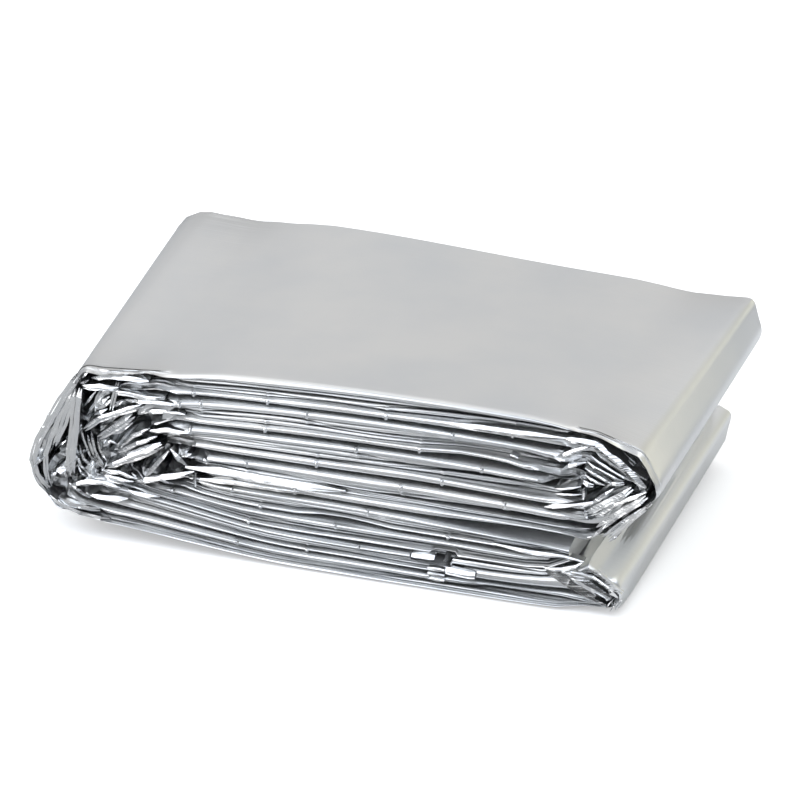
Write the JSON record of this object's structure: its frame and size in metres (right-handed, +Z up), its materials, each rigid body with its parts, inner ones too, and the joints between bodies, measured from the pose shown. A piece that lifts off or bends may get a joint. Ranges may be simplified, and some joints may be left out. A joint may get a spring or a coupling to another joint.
{
  "type": "emergency foil blanket",
  "caption": "Emergency foil blanket of aluminised film, folded into a thick, slightly puffed packet of loose layers with rounded bends and two drooping loose ends.",
  "frame": {"origin": "centre of the packet's footprint, on the surface it lies on", "axes": "+X along the packet's length towards its nose and loose ends, +Y from the front edges of the layers to the back, +Z up"},
  "size_m": [0.1342, 0.0726, 0.0434],
  "materials": {
    "aluminised film": "bright metallised polyester film, thin and crinkled, satin on its broad faces"
  },
  "bodies": {
    "root": {"foil_film": "aluminised film"}
  },
  "joints": []
}
